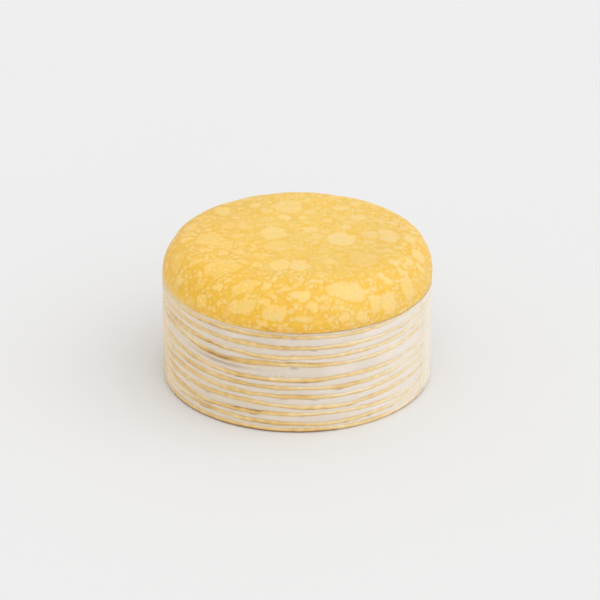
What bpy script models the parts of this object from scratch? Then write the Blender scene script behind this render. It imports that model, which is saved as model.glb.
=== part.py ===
"""Crepe cake: a round stack of thin crepes and whipped cream under a domed golden top crepe,
with a strip of clear film wrapped round its side.

Metres, +Z up. The origin is the middle of the foot, where the lowest crepe rests, and the front
of the cake faces -Y. Azimuths are in degrees from the front, growing toward +X.
"""
import math
from collections import namedtuple

import bmesh
import bpy

MM = 0.001

# Driving sizes of the whole cake.
FOOT_RADIUS = 76.0 * MM
COLLAR_RADIUS = 75.4 * MM
COLLAR_TOP = 59.4 * MM
CROWN_RISE = 25.4 * MM
SEGMENTS = 48
GAP = 0.3 * MM

# Crepes: thickness, the rounding of their edge, and the azimuth where the stack dips lowest.
CREPE_THICKNESS = 2.0 * MM
FOOT_THICKNESS = 2.6 * MM
CREPE_ROUNDING = 0.55 * MM
CREAM_ROUNDING = 0.3 * MM
CREAM_SHYNESS = 0.3 * MM
LOWEST_AZIMUTH = 12.0

# A sheet is a gently waved disc: its height in the middle, how far it rises toward the two
# sides, and its ripple's size, number of waves round the cake and the azimuth of one crest.
Sheet = namedtuple("Sheet", "height rise ripple waves crest")
FLOOR = Sheet(0.0, 0.0, 0.0, 1, 0.0)
FOOT_TOP = Sheet(FOOT_THICKNESS, 0.0, 0.0, 1, 0.0)
CREPES = (
    Sheet(5.6 * MM, 2.2 * MM, 0.30 * MM, 5, 40.0),
    Sheet(10.4 * MM, 2.6 * MM, 1.10 * MM, 4, 5.0),
    Sheet(16.1 * MM, 2.8 * MM, 1.10 * MM, 5, -22.0),
    Sheet(21.5 * MM, 2.8 * MM, 0.30 * MM, 4, -8.0),
    Sheet(27.0 * MM, 2.8 * MM, 0.25 * MM, 3, 50.0),
    Sheet(32.1 * MM, 2.8 * MM, 0.50 * MM, 2, 35.0),
    Sheet(40.9 * MM, 2.8 * MM, 0.90 * MM, 6, -3.0),
    Sheet(45.5 * MM, 2.8 * MM, 0.25 * MM, 5, 0.0),
    Sheet(51.2 * MM, 2.8 * MM, 0.30 * MM, 3, -60.0),
    Sheet(57.0 * MM, 1.4 * MM, 0.20 * MM, 4, -10.0),
)

# Crown: a dome with a flat middle and a steep shoulder, covered by the top crepe. The crepe's
# rim hangs lowest at the front and highest at the left, where a strip of cream shows under it.
CROWN_RADIUS = 75.2 * MM
CROWN_FLATNESS = 8.6
CROWN_SHOULDER = 2.25
CROWN_RINGS = 9
TOP_CREPE_THICKNESS = 2.0 * MM
RIM_HEIGHT = 61.0 * MM
RIM_SWAY = 0.8 * MM
RIM_HIGH_AZIMUTH = -78.0
CROWN_CREAM_INSET = TOP_CREPE_THICKNESS + 2 * GAP

# Film: a strip bent once round the side, its end lapped over its start at the back.
FILM_THICKNESS = 0.25 * MM
FILM_FOOT = 0.6 * MM
FILM_START_AZIMUTH = 150.0
FILM_LAP_SEGMENTS = 3
FILM_RAMP_SEGMENTS = 2

GOLDEN_CREPE = ("golden_crepe", (0.94, 0.62, 0.13, 1.0), 0.55)
TAN_CREPE = ("tan_crepe", (0.72, 0.50, 0.24, 1.0), 0.60)
WHIPPED_CREAM = ("whipped_cream", (0.86, 0.80, 0.72, 1.0), 0.50)
CLEAR_FILM = ("clear_film", (0.90, 0.90, 0.88, 0.2), 0.10)


def clear_scene():
    for obj in list(bpy.data.objects):
        bpy.data.objects.remove(obj, do_unlink=True)


def make_material(finish):
    name, colour, roughness = finish
    material = bpy.data.materials.new(name)
    material.use_nodes = True
    shader = material.node_tree.nodes["Principled BSDF"]
    shader.inputs["Base Color"].default_value = colour
    shader.inputs["Roughness"].default_value = roughness
    shader.inputs["Metallic"].default_value = 0.0
    shader.inputs["Alpha"].default_value = colour[3]
    return material


def add_object(name, shape, material, collection):
    """Turns a finished bmesh into a named object with smooth faces and sharp rims."""
    bmesh.ops.recalc_face_normals(shape, faces=shape.faces)
    mesh = bpy.data.meshes.new(name)
    shape.to_mesh(mesh)
    shape.free()
    mesh.materials.append(material)
    mesh.shade_smooth()
    mesh.set_sharp_from_angle(angle=math.radians(40))
    obj = bpy.data.objects.new(name, mesh)
    collection.objects.link(obj)
    return obj


def azimuth_of(x, y):
    """Angle from the front of the cake, in radians, growing toward +X."""
    return math.atan2(x, -y)


def sheet_height(sheet, x, y):
    """Height of a waved sheet: flat at the middle, its waves growing straight out to the edge."""
    azimuth = azimuth_of(x, y)
    rise = sheet.rise * math.sin(azimuth - math.radians(LOWEST_AZIMUTH)) ** 2
    ripple = sheet.ripple * math.cos(sheet.waves * (azimuth - math.radians(sheet.crest)))
    outward = math.hypot(x, y) / FOOT_RADIUS
    return sheet.height + (rise + ripple) * outward


def shifted(sheet, distance):
    return sheet._replace(height=sheet.height + distance)


def film_inner_radius(height):
    """The side narrows a little from the foot to the film's top edge."""
    outer = FOOT_RADIUS + (COLLAR_RADIUS - FOOT_RADIUS) * height / COLLAR_TOP
    return outer - FILM_THICKNESS


def edge_radius(over):
    """Radius of a crepe that clears the film at the highest point of its edge."""
    return film_inner_radius(over.height + over.rise + over.ripple) - GAP


def add_layer(name, under, over, radius, rounding, material, collection):
    """A disc between two waved sheets, from a cylinder whose caps are bent onto them."""
    shape = bmesh.new()
    bmesh.ops.create_cone(
        shape, cap_ends=True, cap_tris=True, segments=SEGMENTS, radius1=radius, radius2=radius, depth=1.0
    )
    for vertex in shape.verts:
        sheet = over if vertex.co.z > 0 else under
        vertex.co.z = sheet_height(sheet, vertex.co.x, vertex.co.y)
    obj = add_object(name, shape, material, collection)
    rim = obj.modifiers.new("rounded_rim", "BEVEL")
    rim.width = rounding
    rim.segments = 1
    rim.limit_method = "ANGLE"
    rim.angle_limit = math.radians(50)
    return obj


def add_stack(crepe, cream, collection):
    """The crepes and the cream between them, from the foot up to the last crepe in the side."""
    under = FLOOR
    over = FOOT_TOP
    add_layer("crepe_01", under, over, edge_radius(over), CREPE_ROUNDING, crepe, collection)
    for index, middle in enumerate(CREPES, start=2):
        under = shifted(middle, -CREPE_THICKNESS / 2)
        cream_under = shifted(over, GAP)
        cream_over = shifted(under, -GAP)
        cream_radius = edge_radius(cream_over) - CREAM_SHYNESS
        add_layer(
            f"cream_{index - 1:02d}", cream_under, cream_over, cream_radius, CREAM_ROUNDING, cream, collection
        )
        over = shifted(middle, CREPE_THICKNESS / 2)
        add_layer(f"crepe_{index:02d}", under, over, edge_radius(over), CREPE_ROUNDING, crepe, collection)
    return over


def rim_height(azimuth):
    """Height of the top crepe's rim: high at the left, low at the front and the right."""
    turn = azimuth - math.radians(RIM_HIGH_AZIMUTH)
    return RIM_HEIGHT + RIM_SWAY * (math.cos(turn) + math.cos(2 * turn))


def crown_angle(height, rise):
    """Angle up the crown's profile at which it reaches this height."""
    share = (height - COLLAR_TOP) / rise
    return math.asin(share ** (CROWN_SHOULDER / 2))


def crown_surface(radius, rise, foot_drop):
    """The open dome, from the upper half of a sphere bent onto the crown's squared profile.

    At an angle t up the profile the radius is cos(t)^(2/flatness) of the crown's radius and
    the height sin(t)^(2/shoulder) of its rise. The lowest ring follows the top crepe's rim.
    """
    shape = bmesh.new()
    bmesh.ops.create_uvsphere(shape, u_segments=SEGMENTS, v_segments=2 * CROWN_RINGS, radius=1.0)
    lower_half = [vertex for vertex in shape.verts if vertex.co.z < -0.001]
    bmesh.ops.delete(shape, geom=lower_half, context="VERTS")
    for vertex in shape.verts:
        spread = math.hypot(vertex.co.x, vertex.co.y)
        latitude = math.atan2(vertex.co.z, spread)
        azimuth = azimuth_of(vertex.co.x, vertex.co.y)
        if spread < 0.001:
            vertex.co = (0.0, 0.0, COLLAR_TOP + rise)
            continue
        lowest = crown_angle(rim_height(azimuth) - foot_drop, rise)
        angle = lowest + (math.pi / 2 - lowest) * latitude / (math.pi / 2)
        out = radius * math.cos(angle) ** (2 / CROWN_FLATNESS)
        height = COLLAR_TOP + rise * math.sin(angle) ** (2 / CROWN_SHOULDER)
        vertex.co = (out * math.sin(azimuth), -out * math.cos(azimuth), height)
    return shape


def add_top_crepe(material, collection):
    """The golden crepe draped over the crown, as a shell that stops above the film's edge."""
    shape = crown_surface(CROWN_RADIUS, CROWN_RISE, 0.0)
    obj = add_object("crepe_top", shape, material, collection)
    shell = obj.modifiers.new("crepe_thickness", "SOLIDIFY")
    shell.thickness = TOP_CREPE_THICKNESS
    shell.offset = -1.0
    shell.use_even_offset = True
    return obj


def extrude_rim(shape, place):
    """Pulls the open rim out into a new ring of faces and moves the ring's points by a rule."""
    rim = [edge for edge in shape.edges if edge.is_boundary]
    pulled = bmesh.ops.extrude_edge_only(shape, edges=rim)["geom"]
    ring = [item for item in pulled if isinstance(item, bmesh.types.BMVert)]
    for vertex in ring:
        vertex.co = place(azimuth_of(vertex.co.x, vertex.co.y))
    return ring


def add_crown_cream(under, material, collection):
    """The cream that fills the crown: a dome on a short wall, which shows below the top crepe."""
    radius = CROWN_RADIUS - CROWN_CREAM_INSET
    rise = CROWN_RISE - CROWN_CREAM_INSET
    wall_radius = edge_radius(under) - CREAM_SHYNESS
    shape = crown_surface(radius, rise, GAP)

    def ledge_point(azimuth):
        x = wall_radius * math.sin(azimuth)
        y = -wall_radius * math.cos(azimuth)
        return (x, y, rim_height(azimuth) - GAP)

    def foot_point(azimuth):
        x = wall_radius * math.sin(azimuth)
        y = -wall_radius * math.cos(azimuth)
        return (x, y, sheet_height(under, x, y))

    extrude_rim(shape, ledge_point)
    extrude_rim(shape, foot_point)
    middle = shape.verts.new((0.0, 0.0, under.height))
    for edge in [edge for edge in shape.edges if edge.is_boundary]:
        shape.faces.new((edge.verts[0], edge.verts[1], middle))
    return add_object("cream_11", shape, material, collection)


def add_film(material, collection):
    """A flat strip bent round the cake, lapped at the back, and thickened outward."""
    length = SEGMENTS + FILM_LAP_SEGMENTS
    shape = bmesh.new()
    bmesh.ops.create_grid(shape, x_segments=length, y_segments=1, size=1.0)
    for vertex in shape.verts:
        step = round((vertex.co.x + 1) / 2 * length)
        height = FILM_FOOT if vertex.co.y < 0 else COLLAR_TOP
        azimuth = math.radians(FILM_START_AZIMUTH) + step * math.tau / SEGMENTS
        ramp = min(max((step - SEGMENTS + FILM_RAMP_SEGMENTS) / FILM_RAMP_SEGMENTS, 0.0), 1.0)
        radius = film_inner_radius(height) + ramp * (FILM_THICKNESS + GAP)
        vertex.co = (radius * math.sin(azimuth), -radius * math.cos(azimuth), height)
    obj = add_object("film_collar", shape, material, collection)
    outward = sum(face.normal.dot(face.center) for face in obj.data.polygons) > 0
    wall = obj.modifiers.new("film_thickness", "SOLIDIFY")
    wall.thickness = FILM_THICKNESS
    wall.offset = 1.0 if outward else -1.0
    wall.use_even_offset = True
    return obj


def build_cake():
    clear_scene()
    cake = bpy.data.collections.new("crepe_cake")
    bpy.context.scene.collection.children.link(cake)
    tan = make_material(TAN_CREPE)
    white = make_material(WHIPPED_CREAM)
    last_top = add_stack(tan, white, cake)
    add_crown_cream(shifted(last_top, GAP), white, cake)
    add_top_crepe(make_material(GOLDEN_CREPE), cake)
    add_film(make_material(CLEAR_FILM), cake)


build_cake()
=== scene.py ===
"""The looks of a small whole crepe cake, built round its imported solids, in metres, +Z up."""

import bpy
import numpy as np
from mathutils import Matrix, Vector


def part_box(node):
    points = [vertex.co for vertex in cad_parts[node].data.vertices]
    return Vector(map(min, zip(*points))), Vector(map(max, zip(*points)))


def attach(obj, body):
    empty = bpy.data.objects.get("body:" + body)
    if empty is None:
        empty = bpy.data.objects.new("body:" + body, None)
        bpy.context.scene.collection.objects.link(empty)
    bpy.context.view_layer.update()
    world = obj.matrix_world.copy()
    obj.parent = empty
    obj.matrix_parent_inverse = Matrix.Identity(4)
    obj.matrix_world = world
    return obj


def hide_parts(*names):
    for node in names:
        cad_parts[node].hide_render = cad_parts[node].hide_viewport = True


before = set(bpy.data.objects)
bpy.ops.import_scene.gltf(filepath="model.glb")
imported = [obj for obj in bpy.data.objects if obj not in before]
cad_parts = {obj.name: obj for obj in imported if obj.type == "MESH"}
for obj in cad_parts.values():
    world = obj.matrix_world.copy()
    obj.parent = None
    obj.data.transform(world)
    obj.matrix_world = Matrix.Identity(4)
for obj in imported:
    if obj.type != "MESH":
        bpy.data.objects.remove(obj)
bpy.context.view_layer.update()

# Camera
# A long lens a good metre away, looking down on the cake at the photograph's angle. The offsets
# move it along its own up and right directions, so that the cake stands where it does in the frame.
FOOT_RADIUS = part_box("film_collar")[1][0]
CAMERA_PITCH = np.radians(25.75)
CAMERA_DISTANCE = 15.08 * FOOT_RADIUS
CAMERA_RISE = 0.510 * FOOT_RADIUS
CAMERA_SHIFT = 0.022 * FOOT_RADIUS
CAMERA_ROLL = np.radians(0.18)
LENS_PIXELS = 2002.0
FRAME_PIXELS = 600.0


def make_camera():
    """A camera whose focal length in pixels is LENS_PIXELS across a frame of FRAME_PIXELS."""
    back = Vector((0.0, -np.cos(CAMERA_PITCH), np.sin(CAMERA_PITCH)))
    up = Vector((0.0, np.sin(CAMERA_PITCH), np.cos(CAMERA_PITCH)))
    right = Vector((1.0, 0.0, 0.0))
    data = bpy.data.cameras.new("camera")
    data.sensor_width = 36.0
    data.lens = LENS_PIXELS / FRAME_PIXELS * data.sensor_width
    data.clip_end = 20.0
    camera = bpy.data.objects.new("camera", data)
    place = back * CAMERA_DISTANCE + up * CAMERA_RISE + right * CAMERA_SHIFT
    turn = Matrix((right, up, back)).transposed().to_4x4() @ Matrix.Rotation(CAMERA_ROLL, 4, "Z")
    camera.matrix_world = Matrix.Translation(place) @ turn
    bpy.context.scene.collection.objects.link(camera)
    bpy.context.scene.camera = camera


make_camera()

# Crepes in the side
# Thin pan-fried batter discs, tan and browned on their two faces and pale within, stacked with
# cream between them. Only their soft, uneven edges show, pressed against the film, with a painted
# highlight along their upper rims and painted shade along their lower ones.
MM = 0.001
AROUND = 1440
AZIMUTH = np.arange(AROUND) * 2 * np.pi / AROUND
FILM_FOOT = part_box("film_collar")[0][2]
COLLAR_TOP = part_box("film_collar")[1][2]
COLLAR_NARROWING = 0.6 * MM
FILM_THICKNESS = 0.25 * MM
LOWEST_AZIMUTH = np.radians(12.0)
# Height of each crepe's middle at the front, its rise toward the sides, and its ripple's size,
# number of waves round the cake and crest, as in the solids.
CREPE_SHEETS = (
    (1.3, 0.0, 0.0, 1, 0.0),
    (5.6, 2.2, 0.30, 5, 40.0),
    (10.4, 2.6, 1.10, 4, 5.0),
    (16.1, 2.8, 1.10, 5, -22.0),
    (21.5, 2.8, 0.30, 4, -8.0),
    (27.0, 2.8, 0.25, 3, 50.0),
    (32.1, 2.8, 0.50, 2, 35.0),
    (40.9, 2.8, 0.90, 6, -3.0),
    (45.5, 2.8, 0.25, 5, 0.0),
    (51.2, 2.8, 0.30, 3, -60.0),
    (57.0, 1.4, 0.20, 4, -10.0),
)
# The same heights as read every ten degrees across the front, left to right, in millimetres. The line
# that was read lies above the crepe's middle by the offset, most at the left. Past the front the
# readings fade back to the sheet's own height.
READ_AT = np.arange(-60, 61, 10)
READ_HEIGHTS = {
    1: (7.9, 7.9, 7.4, 6.7, 6.2, 5.9, 5.4, 5.0, 5.1, 5.8, 6.4, 6.9, 7.0),
    2: (11.8, 11.2, 10.7, 11.4, 11.4, 11.4, 11.2, 11.4, 11.4, 11.2, 10.6, 10.2, 10.4),
    3: (18.4, 18.0, 17.5, 18.0, 17.6, 16.5, 15.8, 15.0, 15.1, 16.0, 16.8, 17.5, 17.6),
    4: (24.4, 23.8, 23.2, 22.6, 22.3, 22.2, 21.8, 21.4, 21.2, 21.8, 22.5, 23.2, 23.8),
    5: (29.8, 28.8, 28.3, 27.9, 27.4, 27.2, 27.0, 26.7, 26.4, 26.9, 27.5, 28.4, 29.2),
    6: (34.8, 34.2, 33.1, 32.3, 32.0, 31.9, 31.7, 31.8, 32.6, 32.8, 32.9, 33.4, 34.4),
    7: (45.0, 43.2, 41.2, 40.4, 41.0, 41.4, 41.2, 40.6, 40.4, 40.6, 41.0, 41.9, 43.0),
    8: (48.6, 47.6, 47.4, 46.6, 45.5, 45.2, 45.0, 45.2, 45.4, 45.7, 46.3, 47.0, 47.6),
    9: (54.0, 53.3, 52.7, 52.1, 51.6, 51.1, 50.8, 50.7, 50.8, 51.0, 51.5, 52.1, 52.9),
    10: (59.0, 58.8, 58.5, 58.1, 57.8, 57.5, 57.3, 57.0, 56.8, 57.2, 57.8, 58.3, 58.7),
}
READ_OFFSET = -0.35 - 0.45 * np.exp(-(((READ_AT + 38) / 25) ** 2))
READ_FADE = 88.0
READ_BLUR = 5.0
FOOT_CREPE = 0
DOUBLED_CREPE = 7
LAST_CREPE = 10
CREPE_HALF = 1.08 * MM
FOOT_HALF = 1.3 * MM
THICKER_AT_LEFT = 0.12
HALF_LIMITS = (0.6, 1.4)
EDGE_ROUNDING = 0.75 * MM
CREPE_RECESS = 0.12 * MM
RECESS_LIMITS = (0.04 * MM, 0.4 * MM)
EDGE_ROWS = 13
# How far from the axis the hidden flat faces run before they close on it.
INNER_RADIUS = 0.9 * FOOT_RADIUS
# Uneven waves round the edge: size, first seed, slowest number of waves round the cake, and count.
# Height and recess are in millimetres, and the thickness and the browning in shares.
HEIGHT_WAVES = ((0.09, 100, 12, 20), (0.03, 130, 40, 60))
THICKNESS_WAVES = ((0.12, 160, 3, 12), (0.05, 190, 24, 60))
RECESS_WAVES = ((0.05, 370, 5, 20), (0.03, 400, 60, 90))
MIDDLE_WAVES = ((0.06, 340, 3, 14), (0.04, 350, 30, 60))
UPPER_WAVES = ((0.14, 220, 2, 10), (0.03, 250, 30, 60))
LOWER_WAVES = ((0.14, 280, 2, 10), (0.04, 310, 30, 60))
# How brown an edge is along its middle, and how much more so at the left than at the front. Its
# upper rim is paler by a painted highlight where the rounded edge catches the light. Its lower rim
# is browner, partly from browning and partly as painted shade under the edge. At the foot crepe the
# lower rim also holds painted shadow where it meets the floor.
MIDDLE_BROWN = 0.37
BROWNER_AT_LEFT = 0.13
UPPER_HIGHLIGHT = 0.10
LOWER_BROWNING_AND_SHADE = 0.15
FOOT_BROWNING_AND_SHADOW = 0.40
# Where the tone of a rim begins and over how much of the half thickness it grows.
RIM_FROM = 0.15
RIM_OVER = 0.70
FOOT_RIM_FROM = 0.05
FOOT_RIM_OVER = 0.45
# Places round the edge, each an azimuth and a width in degrees and an amount: where the doubled crepe
# is thicker, in millimetres, and where edges are browner or paler, as shares: all of them alike, the
# middle, the upper or the lower rim of one, and one whole edge.
DOUBLED_PLACES = ((-34, 13, 0.40), (-4, 16, 0.35))
SHARED_PLACES = ((-8, 34, 0.05), (-68, 16, -0.10), (42, 22, -0.06))
MIDDLE_PLACES = {7: ((-34, 11, 0.36),), 8: ((-37, 9, 0.34), (0, 18, -0.10))}
UPPER_PLACES = {2: ((-28, 10, 0.25),), 3: ((-24, 8, 0.30),), 7: ((-5, 15, 0.45),)}
# Along the lower rims these places are partly browning and partly painted shade: at the foot crepe's
# left front by the floor, and under the seventh crepe at the front.
LOWER_PLACES = {0: ((-45, 40, 0.30),), 6: ((0, 14, 0.22),), 7: ((-2, 15, -0.10),)}
BROWNED_PLACES = (
    (),
    ((-40, 6, 0.06), (-30, 6, -0.10)),
    ((-50, 8, 0.14), (-29, 7, -0.12), (-9, 6, -0.12), (40, 7, -0.10)),
    ((-29, 7, -0.12), (50, 10, 0.06)),
    ((-2, 8, -0.10), (60, 12, 0.12)),
    ((-48, 8, 0.06), (0, 7, 0.12), (50, 7, -0.08)),
    ((-34, 8, -0.14), (0, 8, 0.08), (47, 7, -0.08)),
    ((-34, 8, 0.12), (3, 8, -0.16)),
    ((-50, 7, -0.10), (-12, 5, -0.10), (46, 10, -0.14)),
    ((-50, 6, -0.10), (-29, 6, -0.10), (2, 10, -0.08)),
    ((-68, 16, -0.20), (0, 14, 0.05), (50, 14, -0.10)),
)


def srgb(red, green, blue):
    """Scene-linear colour of a colour given as it looks on a screen, 0 to 255."""
    shown = np.array([red, green, blue]) / 255
    linear = np.where(shown <= 0.04045, shown / 12.92, ((shown + 0.055) / 1.055) ** 2.4)
    return (*linear, 1.0)


def wander(azimuth, seed, slowest, count):
    """An uneven wave round the cake of size about 1: a sum of sines whose numbers of waves run up
    from the slowest, each with a drawn size and phase."""
    draw = np.random.default_rng(seed)
    waves = slowest + np.arange(count)[:, None]
    phase = draw.uniform(0, 2 * np.pi, count)[:, None]
    size = draw.normal(size=count)[:, None] / np.sqrt(count / 2)
    return (size * np.sin(waves * azimuth + phase)).sum(axis=0)


def degrees_from_front(azimuth):
    """Azimuth in degrees, 0 at the front and positive to the right, from -180 to 180."""
    return (np.degrees(azimuth) + 180) % 360 - 180


def bump_at(azimuth, middle, width):
    """A smooth bump of height 1 round one azimuth, both in degrees from the front."""
    away = (np.degrees(azimuth) - middle + 180) % 360 - 180
    return np.exp(-((away / width) ** 2))


def bumps_round(places):
    """The sum of smooth bumps round the cake, one for each azimuth, width and amount."""
    total = np.zeros(AROUND)
    for middle, width, amount in places:
        total += amount * bump_at(AZIMUTH, middle, width)
    return total


def uneven_waves(waves, index):
    """The sum of a piece's uneven waves. Like pieces share the table, and each adds its index to
    the seeds."""
    total = np.zeros(AROUND)
    for size, seed, slowest, count in waves:
        total += size * wander(AZIMUTH, seed + index, slowest, count)
    return total


def smooth_round(values, degrees):
    """Values round the cake blurred by a bell curve of the given width."""
    away = np.minimum(AZIMUTH, 2 * np.pi - AZIMUTH)
    bell = np.exp(-((np.degrees(away) / degrees) ** 2))
    return np.fft.ifft(np.fft.fft(values) * np.fft.fft(bell / bell.sum())).real


def film_inner_radius(height):
    """The side narrows evenly from the foot to the film's top edge."""
    return FOOT_RADIUS - COLLAR_NARROWING * height / COLLAR_TOP - FILM_THICKNESS


def add_mesh(name, points, faces, material, fields):
    """A smooth-shaded mesh from arrays, with one named number per point for each field."""
    mesh = bpy.data.meshes.new(name)
    mesh.from_pydata(points.tolist(), [], faces)
    for field, values in fields.items():
        stored = mesh.attributes.new(field, "FLOAT", "POINT")
        stored.data.foreach_set("value", np.ascontiguousarray(values, dtype=np.float32))
    mesh.materials.append(material)
    mesh.shade_smooth()
    obj = bpy.data.objects.new(name, mesh)
    bpy.context.scene.collection.objects.link(obj)
    return obj


def turned_points(radius, height):
    """Points of a turned surface: for each row and azimuth a, (radius sin a, -radius cos a, height)."""
    x = radius * np.sin(AZIMUTH)
    y = -radius * np.cos(AZIMUTH)
    return np.stack([x, y, height], axis=-1).reshape(-1, 3)


def turned_faces(rows, around):
    """Quads between neighbouring rows, run from the lowest row to the highest, closed at both ends
    by fans to two points that follow the grid's own."""
    row = np.arange(rows - 1)[:, None] * around
    here = np.arange(around)[None, :]
    beside = (here + 1) % around
    quads = np.stack([row + here, row + beside, row + around + beside, row + around + here], -1)
    faces = quads.reshape(-1, 4).tolist()
    first = rows * around
    last_row = (rows - 1) * around
    faces += [(int(b), int(a), first) for a, b in zip(here[0], beside[0])]
    faces += [(int(last_row + a), int(last_row + b), first + 1) for a, b in zip(here[0], beside[0])]
    return faces


def add_turned(name, radius, height, material, fields):
    """A closed body from rows of radius and height round the axis, with its two poles."""
    points = turned_points(radius, height)
    poles = np.array([[0, 0, height[0].mean()], [0, 0, height[-1].mean()]])
    points = np.concatenate([points, poles])
    faces = turned_faces(len(radius), AROUND)
    fields = {key: np.concatenate([value.ravel(), [0.0, 0.0]]) for key, value in fields.items()}
    return add_mesh(name, points, faces, material, fields)


def with_ends(rows):
    """Rows of an edge with the first and the last repeated, for the flat faces within."""
    return np.concatenate([rows[:1], rows, rows[-1:]])


def crepe_middle(index):
    """Height of a crepe's middle round its edge: its sheet's rise and ripple, drawn to the heights
    read across the front, and a fine wander."""
    height, rise, ripple, waves, crest = CREPE_SHEETS[index]
    middle = height + rise * np.sin(AZIMUTH - LOWEST_AZIMUTH) ** 2
    middle = middle + ripple * np.cos(waves * (AZIMUTH - np.radians(crest)))
    if index != FOOT_CREPE:
        azimuth = degrees_from_front(AZIMUTH)
        order = np.argsort(azimuth)
        at_reading = np.interp(READ_AT, azimuth[order], middle[order])
        lift = np.array(READ_HEIGHTS[index]) + READ_OFFSET - at_reading
        stations = [-READ_FADE, *READ_AT, READ_FADE]
        drawn = np.interp(azimuth, stations, [0.0, *lift, 0.0])
        middle = middle + smooth_round(drawn, READ_BLUR) + uneven_waves(HEIGHT_WAVES, index)
    return middle * MM


def crepe_half(index):
    """Half the crepe's thickness round its edge: thicker at the left than at the right, and uneven
    by a fifth. One crepe is doubled over at the left of the front."""
    uneven = 1 - THICKER_AT_LEFT * np.sin(AZIMUTH) + uneven_waves(THICKNESS_WAVES, index)
    half = CREPE_HALF * np.clip(uneven, *HALF_LIMITS)
    if index == DOUBLED_CREPE:
        half = half + bumps_round(DOUBLED_PLACES) * MM
    if index == FOOT_CREPE:
        half = np.full(AROUND, FOOT_HALF)
    return half


def new_paint(name):
    """A Principled material, and short ways to add a node to it and to join two sockets."""
    material = bpy.data.materials.new(name)
    material.use_nodes = True
    tree = material.node_tree
    shader = tree.nodes["Principled BSDF"]

    def node(kind, inputs=(), **settings):
        made = tree.nodes.new("ShaderNode" + kind)
        for key, value in settings.items():
            setattr(made, key, value)
        for key, value in dict(inputs).items():
            if isinstance(value, bpy.types.NodeSocket):
                tree.links.new(value, made.inputs[key])
            else:
                made.inputs[key].default_value = value
        return made

    def join(source, target):
        tree.links.new(source, target)

    return material, shader, node, join


def mixed(node, share, first, second):
    """Colour socket of first blended toward second by a share."""
    made = node("Mix", data_type="RGBA")
    for slot, value in ((0, share), (6, first), (7, second)):
        if isinstance(value, bpy.types.NodeSocket):
            made.id_data.links.new(value, made.inputs[slot])
        else:
            made.inputs[slot].default_value = value
    return made.outputs[2]


def ranged(node, value, low, high, to_low=0.0, to_high=1.0):
    """Socket of a value carried from one range to another, held at its ends."""
    made = node(
        "MapRange",
        {"Value": value, "From Min": low, "From Max": high, "To Min": to_low, "To Max": to_high},
    )
    return made.outputs[0]


def ramped(node, value, stops):
    """Colour socket of a ramp through stops of position and colour."""
    made = node("ValToRGB", {"Fac": value})
    elements = made.color_ramp.elements
    elements[0].position, elements[0].color = stops[0]
    elements[1].position, elements[1].color = stops[-1]
    for position, colour in stops[1:-1]:
        elements.new(position).color = colour
    return made.outputs["Color"]


def read_field(node, name):
    """Value socket of a named number stored with the mesh's points."""
    return node("Attribute", attribute_name=name).outputs["Fac"]


def noise(node, place, scale, detail, roughness=0.5):
    """Value socket of a cloudy noise with about as many lumps to a metre as its scale."""
    inputs = {"Vector": place, "Scale": scale, "Detail": detail, "Roughness": roughness}
    return node("TexNoise", inputs).outputs["Fac"]


def times(node, first, second):
    """Value socket of two values multiplied."""
    return node("Math", {0: first, 1: second}, operation="MULTIPLY").outputs[0]


def let_light_in(shader, weight, radius, scale):
    """Light scattered under the surface: how much, each colour's share of the reach, and the reach."""
    shader.inputs["Subsurface Weight"].default_value = weight
    shader.inputs["Subsurface Radius"].default_value = radius
    shader.inputs["Subsurface Scale"].default_value = scale


def make_crepe_edge_paint():
    """Tan crepe edge: pale inside, finely mottled, and darker where its field is high. That field holds
    the browning, and also a painted highlight along the upper rims and painted shade along the lower
    ones.
    """
    material, shader, node, join = new_paint("crepe_edge")
    place = node("TexCoord").outputs["Object"]
    brown_and_shading = read_field(node, "brown_and_shading")
    mottle = noise(node, place, 420.0, 5.0, 0.6)
    crumb = noise(node, place, 1800.0, 3.0)
    shift = ranged(node, mottle, 0.3, 0.7, -0.09, 0.09)
    amount = node("Math", {0: brown_and_shading, 1: shift}, operation="ADD", use_clamp=True).outputs[0]
    stops = (
        (0.0, srgb(243, 231, 202)),
        (0.30, srgb(237, 208, 148)),
        (0.62, srgb(221, 181, 102)),
        (1.0, srgb(145, 101, 50)),
    )
    join(ramped(node, amount, stops), shader.inputs["Base Color"])
    lift = node("Bump", {"Height": crumb, "Strength": 0.25, "Distance": 0.0003})
    join(lift.outputs["Normal"], shader.inputs["Normal"])
    join(ranged(node, mottle, 0.3, 0.7, 0.5, 0.68), shader.inputs["Roughness"])
    let_light_in(shader, 0.12, (1.0, 0.6, 0.3), 0.0012)
    return material


def crepe_browning_and_shading(index, across):
    """How deep a tan the edge takes: its middle deeper at the left and paler at the right. Its upper
    rim is paler as a painted highlight. Its lower rim is darker, partly from browning and partly as
    painted shade. The amounts change round the cake."""
    middle = MIDDLE_BROWN - BROWNER_AT_LEFT * np.sin(AZIMUTH) + uneven_waves(MIDDLE_WAVES, index)
    middle = middle + bumps_round(SHARED_PLACES) + bumps_round(BROWNED_PLACES[index])
    upper = middle - UPPER_HIGHLIGHT + uneven_waves(UPPER_WAVES, index)
    lower = middle + LOWER_BROWNING_AND_SHADE + uneven_waves(LOWER_WAVES, index)
    middle = middle + bumps_round(MIDDLE_PLACES.get(index, ()))
    upper = upper + bumps_round(UPPER_PLACES.get(index, ()))
    lower = lower + bumps_round(LOWER_PLACES.get(index, ()))
    near_top = np.clip((across - RIM_FROM) / RIM_OVER, 0, 1)
    near_foot = np.clip((-across - RIM_FROM) / RIM_OVER, 0, 1)
    # The foot crepe's lower rim also carries painted contact shadow along the floor.
    if index == FOOT_CREPE:
        middle = middle + 0.02
        lower = lower + FOOT_BROWNING_AND_SHADOW
        near_foot = np.clip((-across - FOOT_RIM_FROM) / FOOT_RIM_OVER, 0, 1)
    if index == LAST_CREPE:
        at_right = np.clip(np.sin(AZIMUTH), 0, 1)
        middle = middle - 0.14 * at_right
        lower = lower - 0.20 * at_right
    return middle + (upper - middle) * near_top + (lower - middle) * near_foot


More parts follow.
